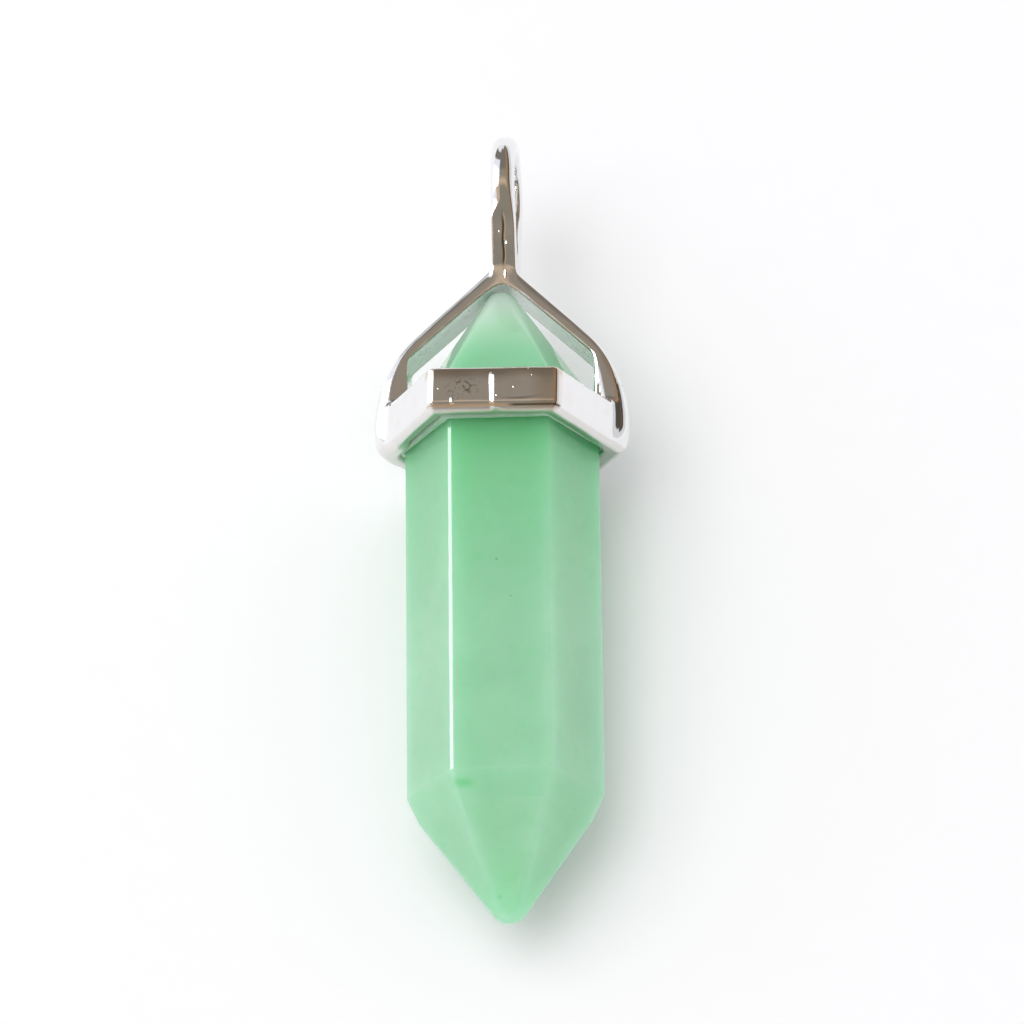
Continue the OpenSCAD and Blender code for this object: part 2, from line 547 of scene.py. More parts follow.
@dataclass(frozen=True)
class Undersides:
    """Where shade and light are painted, and the casting is rougher: painted shade under the
    collar, along the lip and along the arch's inner edge, and a painted pale coat inside the arch.
    """

    inside_band: Band = Band(-0.1, 0.3)
    inside_end: Step = Step(0.8, 0.98)
    below_end: Step = Step(0.1, 0.18)
    # painted shade: a line along the front facet's lower edge, near black on the right and brownish
    # on the left
    lip_band: Band = Band(0.16, 0.1)
    lip_shade_from: Step = Step(0.5, 1.0)
    # painted shade: a dark line along the arch's inner edge
    edge_band: Band = Band(0.02, 0.07)
    edge_start: Step = Step(4.4, 4.9)
    edge_front: Step = Step(0.85, 0.98)

    def arch(self, at: Place, cap: "Cap") -> tuple[Wire, Wire]:
        """The arch's underside, with its painted pale coat, and the painted shade line along its
        inner edge.

        Args:
            at: the point on the cap.
            cap: the casting.

        Returns:
            A mask for each.
        """
        fall = math.radians(cap.arch.inner_fall)
        lean = math.sin(math.radians(cap.crown_lean))
        side, up = at.x - at.z * lean, at.z + at.x * lean
        rise = (up - cap.arch.inner_peak) * math.cos(fall)
        roof = abs(side) * math.sin(fall) + rise
        inside = self.inside_band.of(roof) * (1 - self.inside_end.of(abs(at.y)))
        rounded = side.graph.math("SQRT", side * side + cap.arch.front_round**2)
        edge = self.edge_band.of(rounded * math.sin(fall) + rise) * self.edge_start.of(up)
        return inside, edge * self.edge_front.of(abs(at.y))

    def collar(self, at: Place, cap: "Cap") -> tuple[Wire, Wire]:
        """The collar's underside and the lip above it, both with painted shade.

        Args:
            at: the point on the cap.
            cap: the casting.

        Returns:
            A mask for each.
        """
        roll = math.sin(math.radians(cap.collar_roll))
        level = at.z + at.y * cap.collar.front_rise + at.x * roll
        return 1 - self.below_end.of(level), self.lip_band.of(level)


@dataclass(frozen=True)
class MetalFinish:
    """Bright silver-coloured plating over a casting."""

    bright: Colour = (0.87, 0.875, 0.885)
    warm: Colour = (0.80, 0.77, 0.72)
    # dark marks in the pitting and the score, and painted shade in the crease, along the lip and
    # along the arch's inner edge
    grime_and_shade: Colour = (0.10, 0.085, 0.07)
    # the stains' own tarnish, also the brownish painted shade along the lip
    tarnish_and_shade: Colour = (0.62, 0.46, 0.30)
    # painted shade: the darker colour under the collar
    underside: Colour = (0.62, 0.56, 0.48)
    # painted light: a pale coat inside the arch that stands in for the pale light it mirrors
    milky: Colour = (0.95, 0.97, 0.96)
    wear: FrontWear = FrontWear()
    crease: Crease = Crease()
    undersides: Undersides = Undersides()
    tone: Grain = Grain(1.5, 3.0)
    tone_step: Step = Step(0.45, 0.75)
    tone_share: float = 0.4
    pit_cells: float = 2.2
    pit_edge: Step = Step(0.03, 0.13)
    pit_areas: Grain = Grain(0.9)
    pit_area_step: Step = Step(0.5, 0.6)
    pit_sides: Step = Step(4.7, 4.9)
    pit_depth: float = 0.02
    grain: Grain = Grain(9.0, 2.0)
    grain_height: float = 0.001
    patch_height: float = 0.003
    swell: Grain = Grain(1.3, 1.0)
    swell_height: float = 0.004
    roughness: float = 0.04
    uneven_areas: Grain = Grain(3.0)
    unevenness: float = 0.06
    under_roughness: float = 0.3
    # painted light: takes the metal away inside the arch so that the pale coat shows
    inside_metal_drop: float = 0.85
    inside_share: float = 0.8
    below_share: float = 0.3
    stain_share: float = 0.55
    lip_share: float = 0.7
    shine_share: float = 0.5
    pitting_share: float = 0.7
    score_share: float = 0.5
    edge_share: float = 0.6
    marks: tuple[Mark, ...] = (
        Mark(-1.9, -5.2, 0.55, 0.15, 0.035, 2.0),
        Mark(0.99, -5.2, 1.17, 0.07, 0.014),
        Mark(1.79, -5.2, 1.73, 0.06, -0.01),
        Mark(0.9, -5.2, 0.36, 0.08, 0.012, 1.5),
        Mark(0.36, -1.56, 10.25, 0.12, -0.05),
        Mark(0.12, -1.79, 10.7, 0.07, 0.02),
        Mark(0.33, -1.1, 8.75, 0.07, 0.04, 5.0),
    )

    def pits(self, graph: Graph, at: Place) -> Wire:
        """The small casting pits, on the collar's front and back.

        Args:
            graph: the material's nodes.
            at: the point on the cap.

        Returns:
            1 in the pits, 0 elsewhere.
        """
        cells = graph.node(
            "ShaderNodeTexVoronoi", {"Vector": at.point, "Scale": self.pit_cells}, output="Distance"
        )
        areas = self.pit_area_step.of(self.pit_areas.of(at))
        return (1 - self.pit_edge.of(cells)) * areas * self.pit_sides.of(abs(at.y))

    def material(self, lay: Matrix, cap: "Cap") -> bpy.types.Material:
        """Makes the cap's material: small pits, the mould's line, rougher undersides, painted shade
        under the collar, along edges and in the bail's crease, and a painted pale coat inside the
        arch.

        Args:
            lay: lays the upright pendant down, in metres.
            cap: the casting, whose undersides are rougher than the rest and get painted shade and a
                painted pale coat.

        Returns:
            The material.
        """
        material, graph = new_material("bright_plated_casting")
        at = graph.place(lay)
        patch = self.wear.patch(at)
        score, shine = self.wear.score(at)
        crease = self.crease.mask(at)
        inside, inner_edge = self.undersides.arch(at, cap)
        below, rim = self.undersides.collar(at, cap)
        # painted shade along the front facet's lower edge: brownish on the left, near black on the
        # right
        lip = rim * self.wear.front(at)
        lip_shade_side = self.undersides.lip_shade_from.of(at.x)

        height = self.grain.of(at) * (self.grain_height + patch * self.patch_height)
        height = height + self.swell.of(at) * self.swell_height
        height = height - self.pits(graph, at) * self.pit_depth
        height = height + self.wear.seam(at) - crease * self.crease.depth
        height = height - score * self.wear.score_depth
        for mark in self.marks:
            height = height + mark.spot(at) * mark.height

        pitting = self.wear.pitting_step.of(self.wear.pitting.of(at)) * patch
        # painted shade in the crease, along the lip and along the arch's inner edge; the pitting
        # and the score are dark marks of their own
        grime_and_shade = crease
        for mask in (
            pitting * self.pitting_share,
            # painted shade, near black, on the lip's right
            lip * lip_shade_side,
            # painted shade along the arch's inner edge
            inner_edge * self.edge_share,
            score * self.score_share,
        ):
            grime_and_shade = graph.math("MAXIMUM", grime_and_shade, mask)
        colour = graph.cover(
            self.bright,
            (self.tone_step.of(self.tone.of(at)) * self.tone_share, self.warm),
            (self.wear.stain(at) * self.stain_share, self.tarnish_and_shade),
            (shine * self.shine_share, self.bright),
            # painted shade along the lip, brownish on its left
            (lip * (1 - lip_shade_side) * self.lip_share, self.tarnish_and_shade),
            (grime_and_shade, self.grime_and_shade),
            # painted shade under the collar
            (below * (1 - lip) * self.below_share, self.underside),
            # painted light: the pale coat inside the arch
            (inside * self.inside_share, self.milky),
        )
        under = graph.math("MAXIMUM", below, inside)
        roughness = self.roughness + self.uneven_areas.of(at) * self.unevenness
        finish_material(
            graph,
            {
                "Base Color": colour,
                # painted light: less metallic inside the arch, so the pale coat shows
                "Metallic": 1 - inside * self.inside_metal_drop,
                "Roughness": roughness + under * self.under_roughness,
                "Normal": graph.bump(height),
            },
        )
        return material


@dataclass(frozen=True)
class GlueFinish:
    """Clear glossy adhesive."""

    pale: Colour = (0.55, 0.72, 0.58)
    deep: Colour = (0.35, 0.6, 0.42)
    lumps: Grain = Grain(2.5, 2.0)
    lump_height: float = 0.05
    roughness: float = 0.1
    unevenness: float = 0.1
    refraction: float = 1.45

    def material(self, lay: Matrix) -> bpy.types.Material:
        """Makes the glue's material, a little lumpy and half clear.

        Args:
            lay: lays the upright pendant down, in metres.

        Returns:
            The material.
        """
        material, graph = new_material("clear_glue")
        lumps = self.lumps.of(graph.place(lay))
        finish_material(
            graph,
            {
                "Base Color": graph.mix(lumps, self.pale, self.deep),
                "Roughness": self.roughness + lumps * self.unevenness,
                "IOR": self.refraction,
                "Normal": graph.bump(lumps * self.lump_height),
            },
        )
        return material


@dataclass(frozen=True)
class FloorFinish:
    """Matt white paper."""

    colour: Colour = (0.93, 0.935, 0.945)
    mottle: Grain = Grain(0.6, 3.0)
    mottle_share: float = 0.985
    roughness: float = 0.9
    gloss: float = 0.2

    def material(self) -> bpy.types.Material:
        """Makes the floor's material, with a faint mottle.

        Returns:
            The material.
        """
        material, graph = new_material("white_paper")
        mottle = self.mottle.of(graph.place(Matrix.Scale(MM, 4)))
        darker = tuple(self.mottle_share * part for part in self.colour)
        finish_material(
            graph,
            {
                "Base Color": graph.mix(mottle, self.colour, darker),
                "Roughness": self.roughness,
                "Specular IOR Level": self.gloss,
            },
        )
        return material


def hexagon_distance(x: np.ndarray, y: np.ndarray, flat: float) -> np.ndarray:
    """Distance to a hexagon that has two of its corners on the X axis.

    Args:
        x: across the corners.
        y: across the flats.
        flat: distance from the middle to a side.

    Returns:
        The distance, negative inside.
    """
    lean_x, lean_y = -FLAT_PER_CORNER, 0.5
    x, y = np.abs(x), np.abs(y)
    fold = 2 * np.minimum(lean_x * x + lean_y * y, 0)
    x, y = x - fold * lean_x, y - fold * lean_y
    half_side = flat * math.tan(math.pi / SIDES)
    x = x - np.clip(x, -half_side, half_side)
    y = y - flat
    return np.hypot(x, y) * np.sign(y)


def round_meet(first: np.ndarray, second: np.ndarray, r: np.ndarray | float) -> np.ndarray:
    """Distance to what two solids share, with a round edge where they meet.

    Args:
        first: distance to one solid.
        second: distance to the other.
        r: radius of the round edge.

    Returns:
        The distance, negative inside.
    """
    first, second = first + r, second + r
    outside = np.hypot(np.maximum(first, 0), np.maximum(second, 0))
    return np.minimum(np.maximum(first, second), 0) + outside - r


def soft_max(first: np.ndarray, second: np.ndarray, r: float) -> np.ndarray:
    """The larger of two distances, with their corner rounded over a width of about r."""
    near = np.maximum(r - np.abs(first - second), 0) / r
    return np.maximum(first, second) + near * near * r / 4


def soft_min(first: np.ndarray, second: np.ndarray, r: float) -> np.ndarray:
    """The smaller of two distances, with a fillet over a width of about r."""
    return -soft_max(-first, -second, r)


def make_object(name: str, mesh: bpy.types.Mesh, material: bpy.types.Material) -> bpy.types.Object:
    """Puts a mesh into the scene with its material.

    Args:
        name: the object's name.
        mesh: its mesh, already in place.
        material: what it is made of.

    Returns:
        The object, at the origin.
    """
    mesh.materials.clear()
    mesh.materials.append(material)
    piece = bpy.data.objects.new(name, mesh)
    bpy.context.scene.collection.objects.link(piece)
    return piece


@dataclass(frozen=True)
class SurfaceNet:
    """Turns a distance field into a closed mesh of small even quads."""

    step: float = 0.08
    settle_rounds: int = 3
    probe: float = 0.01

    def gradient(self, distance: Field, points: np.ndarray) -> np.ndarray:
        """How the distance changes at some points.

        Args:
            distance: the field.
            points: the points, one a row.

        Returns:
            Its slope along x, y and z at each point.
        """
        columns = []
        for axis in range(3):
            offset = np.zeros(3)
            offset[axis] = self.probe
            ahead = distance(*(points + offset).T)
            behind = distance(*(points - offset).T)
            columns.append((ahead - behind) / (2 * self.probe))
        return np.stack(columns, axis=1)

    def quads(self, inside: np.ndarray, index: np.ndarray) -> np.ndarray:
        """The faces, one for each grid edge that crosses the surface.

        Args:
            inside: whether each grid point is inside the solid.
            index: each cell's vertex number.

        Returns:
            Four vertex numbers a face, which runs counter-clockwise seen from outside.
        """
        faces = []
        for axis in range(3):
            first = np.moveaxis(inside, axis, 0)[:-1]
            second = np.moveaxis(inside, axis, 0)[1:]
            cells = np.moveaxis(index, axis, 0)
            line, u, v = np.nonzero(first != second)
            corners = [
                cells[line, u, v],
                cells[line, u - 1, v],
                cells[line, u - 1, v - 1],
                cells[line, u, v - 1],
            ]
            ring = np.stack(corners, axis=1)
            outward = first[line, u, v] != (axis == 1)
            faces.append(np.where(outward[:, None], ring, ring[:, ::-1]))
        return np.concatenate(faces)

    def middles(self, values: np.ndarray, cells: np.ndarray) -> np.ndarray:
        """The middle of the surface's crossings in each cell.

        Args:
            values: the distance at each grid point.
            cells: the cells that the surface crosses, one a row.

        Returns:
            A point for each cell, in grid steps.
        """
        total = np.zeros((len(cells), 3))
        hits = np.zeros(len(cells))
        for start in CELL_CORNERS:
            for axis in range(3):
                if start[axis]:
                    continue
                end = tuple(c + (n == axis) for n, c in enumerate(start))
                here = values[tuple((cells + start).T)]
                there = values[tuple((cells + end).T)]
                crosses = (here < 0) != (there < 0)
                share = np.where(crosses, here / np.where(crosses, here - there, 1), 0)
                point = np.array(start) + share[:, None] * (np.array(end) - np.array(start))
                total += np.where(crosses[:, None], point, 0)
                hits += crosses
        return cells + total / hits[:, None]

    def solve(self, distance: Field, low: np.ndarray, high: np.ndarray) -> tuple[np.ndarray, ...]:
        """Meshes the field's zero surface inside a box.

        Args:
            distance: the field, negative inside the solid.
            low: the box's lowest corner, clear of the solid.
            high: the box's highest corner, clear of the solid.

        Returns:
            The vertices, the quads and the outward direction at each vertex.
        """
        axes = [np.arange(a, b + self.step, self.step) for a, b in zip(low, high)]
        values = distance(*np.meshgrid(*axes, indexing="ij"))
        inside = values < 0
        counts = [size - 1 for size in inside.shape]
        held = np.zeros(counts, np.int8)
        for corner in CELL_CORNERS:
            window = tuple(slice(c, c + n) for c, n in zip(corner, counts))
            held += inside[window]
        mixed = (held > 0) & (held < len(CELL_CORNERS))
        index = np.full(counts, -1)
        index[mixed] = np.arange(mixed.sum())
        cells = np.argwhere(mixed)
        points = np.array(low) + self.middles(values, cells) * self.step
        for _ in range(self.settle_rounds):
            slope = self.gradient(distance, points)
            steepness = (slope**2).sum(1)
            points -= (distance(*points.T) / steepness)[:, None] * slope
        slope = self.gradient(distance, points)
        normals = slope / np.linalg.norm(slope, axis=1)[:, None]
        return points, self.quads(inside, index), normals


@dataclass(frozen=True)
class Stone:
    """The double-pointed hexagonal stone."""

    across: float = 8.0
    below: float = 23.5
    above: float = 8.27
    point_height: float = 6.35
    upper_point_height: float = 7.0
    edge_r: float = 0.3
    tip_r: float = 0.55
    upper_tip_r: float = 0.85
    turn: float = 2.0
    upper_tip_shift: float = 0.03
    lower_tip_shift: float = 0.12
    worn_tip_r: float = 0.95
    shoulder_wear: float = 0.6
    point_drop: float = 0.2
    shoulder_slant: float = 8.0
    shoulder_lean: float = 2.0
    segments: int = 48
    finish: StoneFinish = StoneFinish()

    def tip_cut(self, height: float, tip_r: float) -> float:
        """How much shorter a tip of the given radius is than a sharp point of the given height."""
        return tip_r * (1 / math.sin(math.atan(self.across / 2 / height)) - 1)

    def shoulder_rise(self, height: float, tip_r: float) -> float:
        """From a tip back to the middles of the rounds on its shoulder.

        Args:
            height: height that the point would have without its rounded tip.
            tip_r: rounding of the tip.

        Returns:
            The distance along the axis.
        """
        lean = math.atan(self.across / 2 / height)
        return height - self.tip_cut(height, tip_r) + self.edge_r * math.tan(lean / 2)

    @property
    def ball_reach(self) -> float:
        """From the axis to the middle of the round on each corner."""
        return (self.across / 2 - self.edge_r) / FLAT_PER_CORNER

    @property
    def shoulders(self) -> tuple[float, float]:
        """Heights of the middles of the rounds on the lower and the upper shoulder."""
        lower = self.shoulder_rise(self.point_height, self.tip_r) - self.below
        upper = self.above - self.shoulder_rise(self.upper_point_height, self.upper_tip_r)
        return lower, upper

    def sizes(self) -> dict[str, float]:
        """What the node tree is given, by name.

        Returns:
            Lengths in millimetres, and the slant and lean as rise over run.
        """
        sharp_end = -self.below - self.tip_cut(self.point_height, self.tip_r) - self.point_drop
        tip_z = sharp_end + self.tip_cut(self.point_height, self.worn_tip_r) + self.worn_tip_r
        shoulder_z = self.shoulders[0] - self.point_drop
        return {
            "Corner Reach": self.ball_reach,
            "Worn Reach": self.ball_reach * (1 - self.shoulder_wear / (shoulder_z - tip_z)),
            "Edge Radius": self.edge_r,
            "Lower Tip Radius": self.worn_tip_r,
            "Upper Tip Radius": self.upper_tip_r,
            "Wear Start": shoulder_z + self.shoulder_wear,
            "Wear End": shoulder_z - self.shoulder_wear,
            "Upper Shoulder": self.shoulders[1],
            "Lower Tip": tip_z,
            "Upper Tip": self.above - self.upper_tip_r,
            "Upper Tip Shift": self.upper_tip_shift,
            "Lower Tip Shift": self.lower_tip_shift,
            "Shoulder Slant": math.tan(math.radians(self.shoulder_slant)),
            "Shoulder Lean": math.tan(math.radians(self.shoulder_lean)),
        }

    def tree(self) -> bpy.types.NodeTree:
        """Makes the node tree that wraps a skin over balls at the corners and one in each tip.

        The lower shoulder has two rings of corners, because it is worn, and the upper one slants.

        Returns:
            The tree, with an input for each size and one for the material.
        """
        tree = bpy.data.node_groups.new("wrapped_stone", "GeometryNodeTree")
        graph = Graph(tree)
        for name, size in self.sizes().items():
            socket = tree.interface.new_socket(name, in_out="INPUT", socket_type="NodeSocketFloat")
            socket.default_value = size
        tree.interface.new_socket("Material", in_out="INPUT", socket_type="NodeSocketMaterial")
        tree.interface.new_socket("Geometry", in_out="OUTPUT", socket_type="NodeSocketGeometry")
        entry = tree.nodes.new("NodeGroupInput")
        given = {socket.name: Wire(graph, socket) for socket in entry.outputs if socket.name}

        def place(level: str, shift: Wire | float = 0.0) -> Wire:
            """A point at a level, shifted sideways off the axis."""
            return graph.node("ShaderNodeCombineXYZ", {"X": shift, "Z": given[level]})

        def ball(radius: str) -> Wire:
            """A ball of one of the given radii."""
            return graph.node(
                "GeometryNodeMeshUVSphere",
                {"Segments": self.segments, "Rings": self.segments // 2, "Radius": given[radius]},
            )

        def tip(radius: str, middle: Wire) -> Wire:
            """The ball in one tip."""
            return graph.node(
                "GeometryNodeTransform", {"Geometry": ball(radius), "Translation": middle}
            )

        def ring(level: str, reach: str = "Corner Reach") -> Wire:
            """The stone's corners at a level."""
            circle = graph.node(
                "GeometryNodeMeshCircle", {"Vertices": SIDES, "Radius": given[reach]}
            )
            return graph.node(
                "GeometryNodeTransform", {"Geometry": circle, "Translation": place(level)}
            )

        spot = graph.node("GeometryNodeInputPosition")
        across, back = (
            graph.node("ShaderNodeSeparateXYZ", {0: spot}, output=n) for n in range(2)
        )
        climb = across * given["Shoulder Lean"] - back * given["Shoulder Slant"]
        offset = graph.node("ShaderNodeCombineXYZ", {"Z": climb})
        slanted = graph.node(
            "GeometryNodeSetPosition", {"Geometry": ring("Upper Shoulder"), "Offset": offset}
        )
        worn = [ring("Wear Start"), ring("Wear End", "Worn Reach")]
        rings = graph.node("GeometryNodeJoinGeometry", {0: [*worn, slanted]})
        corners = graph.node(
            "GeometryNodeInstanceOnPoints", {"Points": rings, "Instance": ball("Edge Radius")}
        )
        lower_tip = tip("Lower Tip Radius", place("Lower Tip", given["Lower Tip Shift"]))
        upper_tip = tip("Upper Tip Radius", place("Upper Tip", given["Upper Tip Shift"]))
        both = graph.node("GeometryNodeJoinGeometry", {0: [corners, lower_tip, upper_tip]})
        whole = graph.node("GeometryNodeRealizeInstances", {0: both})
        skin = graph.node("GeometryNodeConvexHull", {0: whole})
        dressed = graph.node(
            "GeometryNodeSetMaterial", {"Geometry": skin, "Material": given["Material"]}
        )
        graph.add("NodeGroupOutput", {"Geometry": dressed}, {})
        return tree

    def build(self, lay: Matrix) -> bpy.types.Object:
        """Makes the stone.

        Args:
            lay: lays the upright pendant down, in metres.

        Returns:
            The finished piece.
        """
        material = self.finish.material(lay)
        holder = bpy.data.objects.new("stone_maker", bpy.data.meshes.new("stone_maker"))
        bpy.context.scene.collection.objects.link(holder)
        wrap = holder.modifiers.new("wrap", "NODES")
        wrap.node_group = self.tree()
        sockets = wrap.node_group.interface.items_tree
        identifier = next(s.identifier for s in sockets if s.name == "Material")
        wrap[identifier] = material
        view = bpy.context.evaluated_depsgraph_get()
        mesh = bpy.data.meshes.new_from_object(holder.evaluated_get(view))
        bpy.data.objects.remove(holder)
        mesh.transform(lay @ Matrix.Rotation(math.radians(self.turn), 4, "Z"))
        piece = make_object("polished_stone", mesh, material)
        mesh.shade_smooth()
        mesh.normals_split_custom_set_from_vertices(self.even_normals(mesh))
        return piece

    def even_normals(self, mesh: bpy.types.Mesh) -> np.ndarray:
        """Directions at the vertices, weighted by area so that the flats look flat.

        Args:
            mesh: the stone's mesh.

        Returns:
            A unit vector for each vertex.
        """
        corners = np.zeros(len(mesh.vertices) * 3, np.float32)
        mesh.vertices.foreach_get("co", corners)
        corners = corners.reshape(-1, 3).astype(float)
        total = np.zeros_like(corners)
        for face in mesh.polygons:
            ring = list(face.vertices)
            total[ring] += np.array(face.normal) * face.area
        return total / np.linalg.norm(total, axis=1)[:, None]


@dataclass(frozen=True)
class Collar:
    """The hexagonal collar round the stone."""

    height: float = 2.1
    wall: float = 0.95
    bore_flat: float = 4.25
    bore_corner_r: float = 0.7
    corner_r: float = 0.45
    rim_r: float = 0.2
    bore_r: float = 0.12
    bevel: float = 0.35
    bevel_angle: float = 36.0
    bevel_start: float = 0.15
    lip_round: float = 0.1
    under_angle: float = 20.0
    crowning: float = 0.045
    front_rise: float = 0.035

    @property
    def flat(self) -> float:
        """From the axis to the outside of a side."""
        return self.bore_flat + self.wall

    @property
    def reach(self) -> float:
        """From the axis to where two sides would meet."""
        return self.flat / FLAT_PER_CORNER

    def hole(self, x: np.ndarray, y: np.ndarray) -> np.ndarray:
        """Distance to the stone's hole, whose corners are round."""
        return hexagon_distance(x, y, self.bore_flat - self.bore_corner_r) - self.bore_corner_r

    def distance(self, x: np.ndarray, y: np.ndarray, z: np.ndarray) -> np.ndarray:
        """Distance to the collar. Inside its bevel the underside is hollowed.

        Args:
            x: across the pendant.
            y: from front to back.
            z: along the pendant.

        Returns:
            The distance, negative inside.
        """
        z = z + self.front_rise * y
        plan = hexagon_distance(x, y, self.flat - self.corner_r) - self.corner_r
        plan = plan + self.crowning * (z - self.height / 2) ** 2
        steep, slight = math.radians(self.bevel_angle), math.radians(self.under_angle)
        bevel = plan * math.sin(steep) - (z - self.bevel_start) * math.cos(steep)
        lowest = self.bevel_start - self.bevel * math.tan(steep)
        inner = (lowest - z) * math.cos(slight) - (plan + self.bevel) * math.sin(slight)
        lower = soft_max(bevel, inner, self.lip_round)
        body = round_meet(plan, np.maximum(z - self.height, lower), self.rim_r)
        return soft_max(body, -self.hole(x, y), self.bore_r)


@dataclass(frozen=True)
class Arch:
    """The pointed arch over the stone's upper point."""

    width: float = 2.1
    inner_peak: float = 8.75
    inner_fall: float = 43.5
    peak_height: float = 0.85
    outer_fall: float = 44.0
    outer_edge_r: float = 0.12
    leg_edge_r: float = 0.5
    leg_inner_r: float = 0.26
    inner_edge_r: float = 0.06
    crowning: float = 0.35
    crowned_half: float = 0.4
    inner_round: float = 0.2
    front_round: float = 0.5
    front_step: Step = Step(0.4, 1.0)
    foot_slant: float = 0.45
    foot_round: float = 0.3
    hole_round: float = 0.15
    edge_step: Step = Step(-0.2, 0.2)
    leg_step: Step = Step(2.0, 6.0)
    worn_step: Step = Step(4.2, 5.0)
    worn_side: Step = Step(0.0, 1.0)

    @property
    def outer_peak(self) -> float:
        """Height of the outer peak."""
        return self.inner_peak + self.peak_height

    def space(self, x: np.ndarray, y: np.ndarray, z: np.ndarray, hole: np.ndarray) -> np.ndarray:
        """Distance to the space under the arch, which goes on down the stone's hole.

        Args:
            x: across the pendant.
            y: from front to back.
            z: along the pendant.
            hole: distance to the hole.

        Returns:
            The distance, negative inside.
        """
        fall = math.radians(self.inner_fall)
        share = self.front_step.share(np.abs(y))
        peak_round = self.inner_round + share * (self.front_round - self.inner_round)
        roof = np.hypot(x, peak_round) * math.sin(fall) + (z - self.inner_peak) * math.cos(fall)
        return soft_max(roof, hole, self.hole_round)

    def distance(
        self, x: np.ndarray, y: np.ndarray, z: np.ndarray, space: np.ndarray, collar: Collar
    ) -> np.ndarray:
        """Distance to the arch's strap, which goes on down past the collar.

        Args:
            x: across the pendant.
            y: from front to back.
            z: along the pendant.
            space: distance to the space under the arch.
            collar: the collar, whose corners the legs reach.

        Returns:
            The distance, negative inside.
        """
        fall = math.radians(self.outer_fall)
        centre_z = self.outer_peak - collar.reach / math.cos(fall)
        side, rise = np.abs(x), z - centre_z
        along = side * math.cos(fall) - rise * math.sin(fall)
        slope = side * math.sin(fall) + rise * math.cos(fall)
        outer = np.where(along < 0, slope, np.hypot(side, rise)) - collar.reach
        foot = math.sqrt(collar.reach**2 - centre_z**2)
        slant = (side - foot + self.foot_slant - z) / math.sqrt(2)
        outer = soft_max(outer, slant, self.foot_round)
        share = self.edge_step.share(outer + space)
        outer_r = self.leg_edge_r + self.leg_step.share(z) * (self.outer_edge_r - self.leg_edge_r)
        worn = (1 - self.worn_step.share(z)) * self.worn_side.share(x)
        inner_r = self.inner_edge_r + worn * (self.leg_inner_r - self.inner_edge_r)
        edge_r = inner_r + share * (outer_r - inner_r)
        off_middle = np.clip((outer + space) / 2, -self.crowned_half, self.crowned_half)
        face = np.abs(y) - self.width / 2 + self.crowning * off_middle**2
        return round_meet(np.maximum(outer, -space), face, edge_r)


@dataclass(frozen=True)
class Bail:
    """The teardrop loop on the arch's peak."""

    top: float = 16.2
    width: float = 1.15
    thickness: float = 1.0
    depth: float = 5.5
    shift: float = 0.1
    foot_edge_r: float = 0.08
    crown_edge_r: float = 0.52
    rear_edge_r: float = 0.2
    eye_round: float = 0.35
    eye_edge_r: float = 0.1
    right_step: Step = Step(10.6, 13.4)
    left_step: Step = Step(11.3, 12.2)
    side_step: Step = Step(-0.1, 0.1)
    rear_step: Step = Step(-0.5, 0.8)

    def distance(self, x: np.ndarray, y: np.ndarray, z: np.ndarray, arch: Arch) -> np.ndarray:
        """Distance to the loop, which runs on down into the arch.

        Args:
            x: across the pendant.
            y: from front to back.
            z: along the pendant.
            arch: the arch that it stands on.

        Returns:
            The distance, negative inside.
        """
        across = x - self.shift
        crown_r = self.depth / 2
        crown_z = self.top - crown_r
        foot_y = arch.width / 2
        foot_z = arch.outer_peak - self.width / 2 * math.tan(math.radians(arch.outer_fall))
        span = math.hypot(foot_y, crown_z - foot_z)
        splay = math.asin(crown_r / span) - math.atan(foot_y / (crown_z - foot_z))

        def teardrop(side: np.ndarray) -> np.ndarray:
            """Distance to the loop's outline, for a distance from its middle plane."""
            level = z - crown_z
            below = side * math.sin(splay) + level * math.cos(splay) < 0
            limb = side * math.cos(splay) - level * math.sin(splay)
            return np.where(below, limb, np.hypot(side, level)) - crown_r

        eye = teardrop(np.hypot(y, self.eye_round)) + self.thickness
        ring = soft_max(teardrop(np.abs(y)), -eye, self.eye_edge_r)
        gradual = self.right_step.share(z)
        sudden = self.left_step.share(z)
        share = gradual + self.side_step.share(-across) * (sudden - gradual)
        edge_r = self.foot_edge_r + share * (self.crown_edge_r - self.foot_edge_r)
        rear_share = self.rear_step.share(y) * share
        edge_r = edge_r + rear_share * (self.rear_edge_r - edge_r)
        return round_meet(ring, np.abs(across) - self.width / 2, edge_r)


